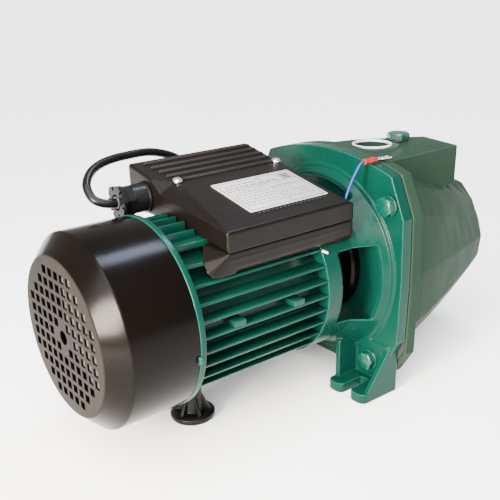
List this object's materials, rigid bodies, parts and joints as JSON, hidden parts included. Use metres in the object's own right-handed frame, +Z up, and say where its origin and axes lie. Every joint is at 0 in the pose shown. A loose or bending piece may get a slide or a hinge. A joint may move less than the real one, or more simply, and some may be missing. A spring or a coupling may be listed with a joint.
{
  "type": "shallow well jet pump",
  "caption": "Self-priming jet pump with a finned electric motor, cast lantern bracket on two slotted feet, tapered jet casing, sloped terminal box and mains cord.",
  "frame": {"origin": "on the floor, under the middle of the pump's length and width, measured without the cord", "axes": "+X along the shaft from the fan cover to the pump's nose, +Y to the side where the cord lies, +Z up"},
  "size_m": [0.4822, 0.3067, 0.2127],
  "materials": {
    "enamel_green": "teal green semi-gloss enamel over cast and extruded aluminium",
    "bracket_green": "teal green semi-gloss enamel over cast iron",
    "bolt_green": "steel painted over in the same teal green enamel",
    "casing_green": "grey-green satin paint over cast iron",
    "gloss_black": "glossy black moulded plastic",
    "box_plastic": "dark charcoal matte plastic with a fine grain",
    "foot_plastic": "black satin nylon",
    "label_silver": "printed silver foil",
    "zinc_steel": "bright zinc plated",
    "shaft_steel": "ground steel",
    "lamination": "stacked steel sheet",
    "copper_enamel": "varnished copper wire",
    "brass": "machined",
    "noryl": "glass filled moulded plastic",
    "rubber": "black rubber",
    "ceramic": "lapped ceramic",
    "white_plastic": "white moulded plastic",
    "cord_black": "black rubber sheath",
    "lead_blue": "blue insulation",
    "sleeve_red": "red crimp sleeve",
    "tin": "tin plated"
  },
  "bodies": {
    "pump": {"fan_cover": "gloss_black", "rear_end_shield": "enamel_green", "motor_housing": "enamel_green", "stator_core": "lamination", "winding_rear": "copper_enamel", "winding_front": "copper_enamel", "bearing_rear_outer": "shaft_steel", "bearing_front_outer": "shaft_steel", "rear_foot": "foot_plastic", "motor_bracket": "bracket_green", "flange_bolt_1": "bolt_green", "flange_bolt_2": "bolt_green", "flange_bolt_3": "bolt_green", "flange_bolt_4": "bolt_green", "pump_casing": "casing_green", "casing_gasket": "rubber", "seal_seat": "ceramic", "diffuser": "noryl", "venturi_tube": "noryl", "ejector_nozzle": "brass", "discharge_port_ring": "white_plastic", "box_lid": "box_plastic", "box_base": "box_plastic", "lid_screw_1": "zinc_steel", "lid_screw_2": "zinc_steel", "rating_label": "label_silver", "capacitor": "white_plastic", "terminal_block": "white_plastic", "gland_body": "foot_plastic", "gland_nut": "foot_plastic", "power_cord": "cord_black", "cord_coil": "cord_black", "cord_tail": "cord_black", "mains_plug": "cord_black", "earth_lead": "lead_blue", "earth_sleeve": "sleeve_red", "earth_terminal": "tin"},
    "rotor": {"shaft": "shaft_steel", "rotor_core": "lamination", "bearing_rear_inner": "shaft_steel", "bearing_front_inner": "shaft_steel", "fan": "noryl", "flinger": "rubber", "seal_rotating": "rubber", "impeller": "noryl", "impeller_nut": "brass"},
    "priming_washer": {"priming_plug_washer": "rubber"},
    "priming": {"priming_plug": "bolt_green"},
    "drain_washer": {"drain_plug_washer": "rubber"},
    "drain": {"drain_plug": "zinc_steel"}
  },
  "joints": [
    {"name": "rotor_spin", "type": "hinge", "parent": "pump", "child": "rotor", "pos_m": [0, 0, 0.107], "axis": [1, 0, 0], "continuous": true},
    {"name": "priming_lift", "type": "slide", "parent": "pump", "child": "priming_washer", "axis": [0, 0, 1], "range_m": [0, 0.01204]},
    {"name": "priming_turn", "type": "hinge", "parent": "priming_washer", "child": "priming", "pos_m": [0.1345, 0, 0.2005], "axis": [0, 0, 1], "range_deg": [0, 3240]},
    {"name": "drain_lift", "type": "slide", "parent": "pump", "child": "drain_washer", "axis": [1, 0, 0], "range_m": [0, 0.01204]},
    {"name": "drain_turn", "type": "hinge", "parent": "drain_washer", "child": "drain", "pos_m": [0.2085, 0, 0.062], "axis": [1, 0, 0], "range_deg": [0, 3240]}
  ],
  "couplings": [
    {"joint": "priming_lift", "follows": "priming_turn", "m_per_rad": 0.0002128},
    {"joint": "drain_lift", "follows": "drain_turn", "m_per_rad": 0.0002128}
  ]
}
